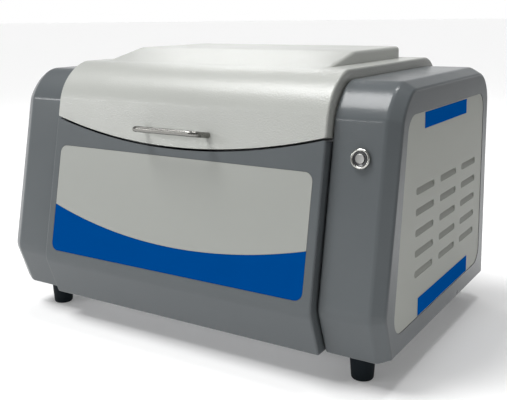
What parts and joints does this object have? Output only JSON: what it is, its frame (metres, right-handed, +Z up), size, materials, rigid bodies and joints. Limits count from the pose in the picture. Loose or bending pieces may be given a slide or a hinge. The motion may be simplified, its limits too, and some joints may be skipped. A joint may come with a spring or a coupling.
{
  "type": "x-ray fluorescence analyzer",
  "caption": "Benchtop x-ray fluorescence analyzer: grey cheeks, a light lid with a bow handle that lifts off a sample stage, louvred side panels, optics and fans inside.",
  "frame": {"origin": "on the floor under the middle of the machine's bounding box", "axes": "+Z up, the front with the lid's handle faces -Y, +X to the right seen from the front"},
  "size_m": [0.55, 0.387, 0.357],
  "materials": {
    "light_paint": "satin light grey paint on a moulded shell",
    "light_steel": "satin light grey paint on sheet steel",
    "grey_paint": "satin grey paint on a moulded shell",
    "grey_steel": "satin grey paint on sheet steel",
    "blue_film": "plain blue film",
    "black_rubber": "moulded",
    "black_plastic": "moulded",
    "stainless": "polished and brushed",
    "zinc_sheet": "zinc-plated sheet",
    "aluminium": "fine milled",
    "clear_film": "thin amber polymer film",
    "board_green": "solder mask"
  },
  "bodies": {
    "casing": {"base_tray": "zinc_sheet", "data_port": "stainless", "detector": "aluminium", "fan_frame_left": "black_plastic", "fan_frame_right": "black_plastic", "fan_guard_left": "black_plastic", "fan_guard_right": "black_plastic", "filter_motor": "black_plastic", "foot_front_left": "black_rubber", "foot_front_right": "black_rubber", "foot_rear_left": "black_rubber", "foot_rear_right": "black_rubber", "front_cover": "grey_paint", "front_panel": "light_paint", "front_panel_sweep": "blue_film", "hinge_body_leaf_left": "stainless", "hinge_body_leaf_right": "stainless", "hv_generator": "grey_steel", "left_cheek": "grey_paint", "left_lower_strip": "blue_film", "left_side_panel": "light_steel", "left_upper_strip": "blue_film", "mains_inlet": "black_plastic", "optics_bracket": "aluminium", "power_button_bezel": "stainless", "power_button_nut": "zinc_sheet", "power_supply": "zinc_sheet", "pulse_processor_board": "board_green", "rear_panel": "grey_steel", "rear_top_cover": "grey_steel", "reed_sensor": "black_plastic", "right_cheek": "grey_paint", "right_lower_strip": "blue_film", "right_side_panel": "light_steel", "right_upper_strip": "blue_film", "sample_camera": "black_plastic", "sample_deck": "zinc_sheet", "shield_box": "zinc_sheet", "stage_plate": "aluminium", "window_film": "clear_film", "window_ring": "stainless", "xray_tube": "stainless"},
    "lid": {"lid_shell": "light_paint", "lid_liner": "aluminium", "handle": "stainless", "handle_screw_left": "zinc_sheet", "handle_screw_right": "zinc_sheet", "interlock_magnet": "zinc_sheet", "hinge_lid_leaf_left": "stainless", "hinge_lid_leaf_right": "stainless"},
    "power_button": {"power_button_cap": "stainless"},
    "rocker": {"rocker_switch": "black_plastic"},
    "fan_left": {"fan_rotor_left": "black_plastic"},
    "fan_right": {"fan_rotor_right": "black_plastic"},
    "filter": {"filter_wheel": "aluminium"}
  },
  "joints": [
    {"name": "lid_hinge", "type": "hinge", "parent": "casing", "child": "lid", "pos_m": [0, 0.1876, 0.3173], "axis": [-1, 0, 0], "range_deg": [0, 75]},
    {"name": "power_button_press", "type": "slide", "parent": "casing", "child": "power_button", "axis": [0, 0.9816, -0.1908], "range_m": [0, 0.0015], "stiffness_N_per_m": 800, "springref_m": -0.001},
    {"name": "rocker_tilt", "type": "hinge", "parent": "casing", "child": "rocker", "pos_m": [0.01525, 0.1923, 0.08], "axis": [1, 0, 0], "range_deg": [-14, 0]},
    {"name": "fan_left_spin", "type": "hinge", "parent": "casing", "child": "fan_left", "pos_m": [-0.11, 0.188, 0.15], "axis": [0, 1, 0], "continuous": true},
    {"name": "fan_right_spin", "type": "hinge", "parent": "casing", "child": "fan_right", "pos_m": [0.11, 0.188, 0.15], "axis": [0, 1, 0], "continuous": true},
    {"name": "filter_wheel_spin", "type": "hinge", "parent": "casing", "child": "filter", "pos_m": [0, 0.02983, 0.2773], "axis": [-0.7071, 0, -0.7071], "continuous": true}
  ]
}
